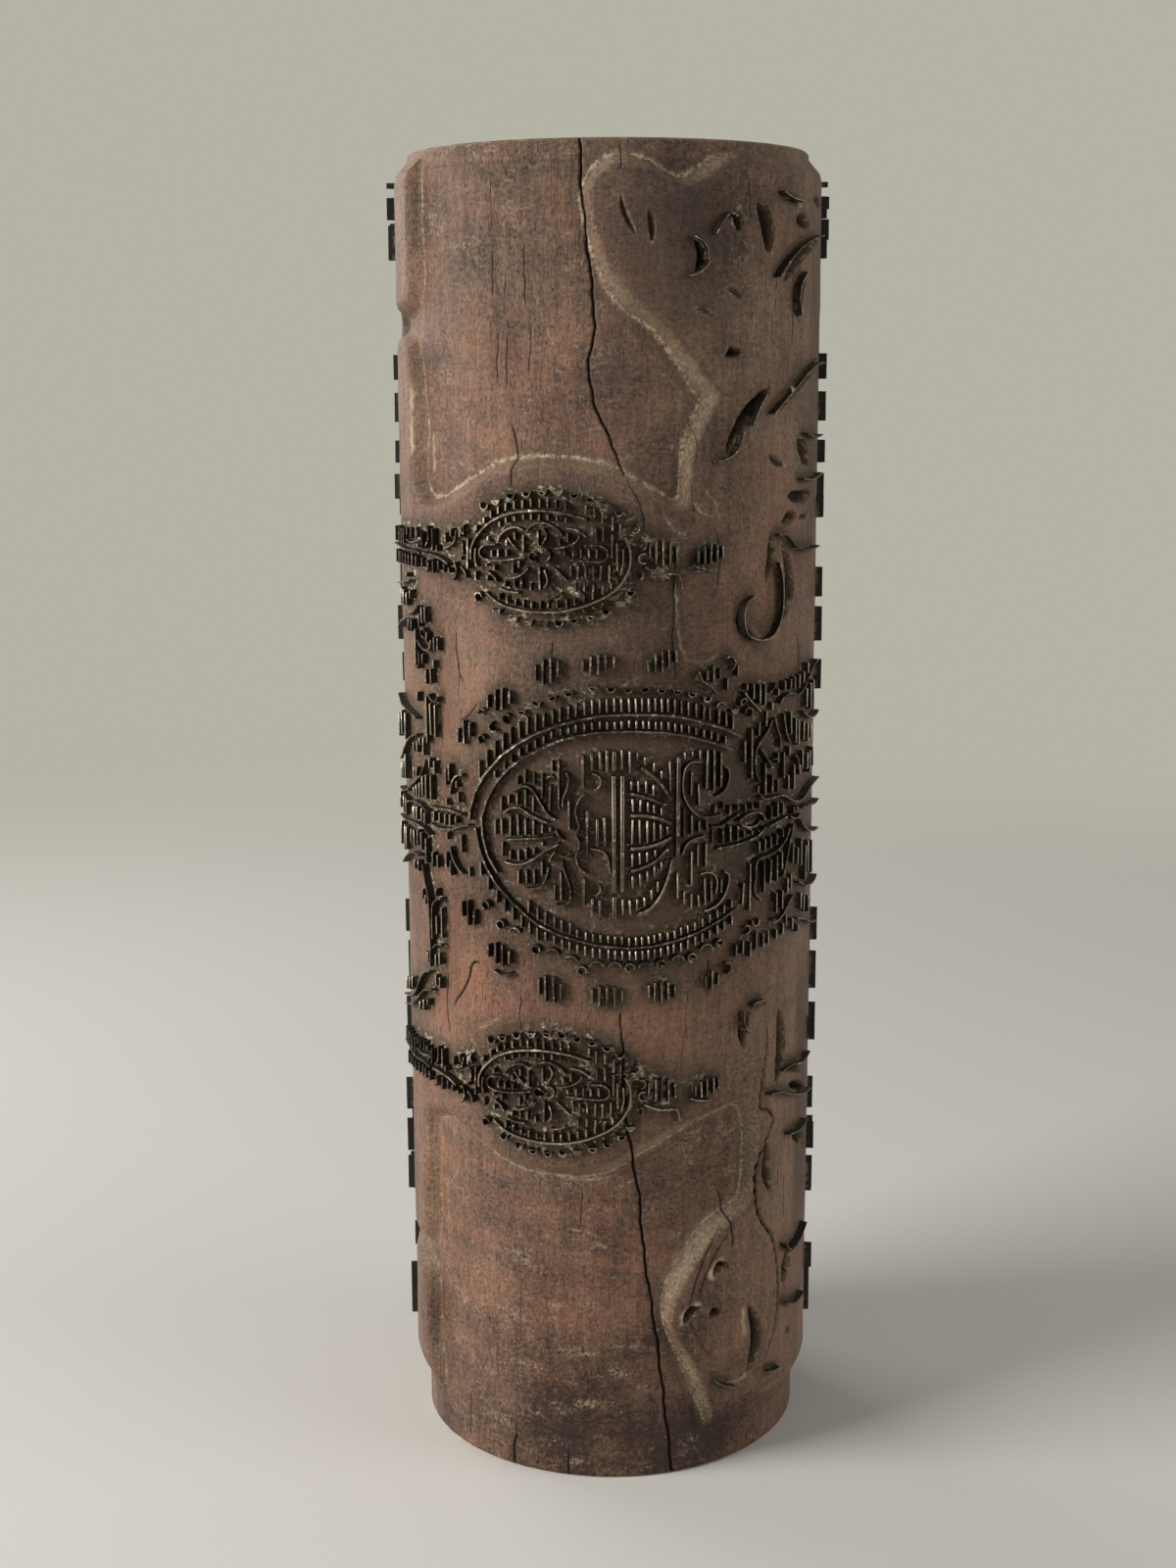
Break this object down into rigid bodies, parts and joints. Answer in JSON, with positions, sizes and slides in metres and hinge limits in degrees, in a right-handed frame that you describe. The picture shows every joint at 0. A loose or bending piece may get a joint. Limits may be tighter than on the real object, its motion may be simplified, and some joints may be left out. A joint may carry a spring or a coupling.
{
  "type": "textile printing roller",
  "caption": "Bored wooden hand-printing roller with a raised face, sunken panels and thin metal strips driven edgewise to form a floral pattern.",
  "frame": {"origin": "centre of the bore at the foot end face, on which the roller stands", "axes": "+Z along the bore from foot to head, -Y towards the seen side of the pattern, +X to its right"},
  "size_m": [0.1696, 0.171, 0.508],
  "materials": {
    "wood": "old oiled hardwood, worn and dusty",
    "strip_metal": "dark oxidised strip, edges worn a little brighter"
  },
  "bodies": {
    "root": {"roller_body": "wood", "front_upper_oval_rim": "strip_metal", "front_upper_oval_flower": "strip_metal", "front_upper_oval_hatch": "strip_metal", "front_upper_oval_beads": "strip_metal", "front_upper_tail": "strip_metal", "front_lower_oval_rim": "strip_metal", "front_lower_oval_flower": "strip_metal", "front_lower_oval_hatch": "strip_metal", "front_lower_oval_beads": "strip_metal", "front_lower_tail": "strip_metal", "front_medallion_rims": "strip_metal", "front_band_hatch": "strip_metal", "front_fringe_hatch": "strip_metal", "front_medallion_beads": "strip_metal", "front_lappets": "strip_metal", "front_palmette_outline": "strip_metal", "front_palmette_hatch": "strip_metal", "front_urn_outline": "strip_metal", "front_urn_bars": "strip_metal", "front_bowl_hatch": "strip_metal", "front_scroll_outline": "strip_metal", "front_scroll_hatch": "strip_metal", "front_stem": "strip_metal", "front_leaf_outline": "strip_metal", "front_leaf_hatch": "strip_metal", "front_column_outline": "strip_metal", "front_column_hatch": "strip_metal", "front_upper_sprig": "strip_metal", "front_lower_sprig": "strip_metal", "back_upper_oval_rim": "strip_metal", "back_upper_oval_flower": "strip_metal", "back_upper_oval_hatch": "strip_metal", "back_upper_oval_beads": "strip_metal", "back_upper_tail": "strip_metal", "back_lower_oval_rim": "strip_metal", "back_lower_oval_flower": "strip_metal", "back_lower_oval_hatch": "strip_metal", "back_lower_oval_beads": "strip_metal", "back_lower_tail": "strip_metal", "back_medallion_rims": "strip_metal", "back_band_hatch": "strip_metal", "back_fringe_hatch": "strip_metal", "back_medallion_beads": "strip_metal", "back_lappets": "strip_metal", "back_palmette_outline": "strip_metal", "back_palmette_hatch": "strip_metal", "back_urn_outline": "strip_metal", "back_urn_bars": "strip_metal", "back_bowl_hatch": "strip_metal", "back_scroll_outline": "strip_metal", "back_scroll_hatch": "strip_metal", "back_stem": "strip_metal", "back_leaf_outline": "strip_metal", "back_leaf_hatch": "strip_metal", "back_column_outline": "strip_metal", "back_column_hatch": "strip_metal", "back_upper_sprig": "strip_metal", "back_lower_sprig": "strip_metal"}
  },
  "joints": []
}
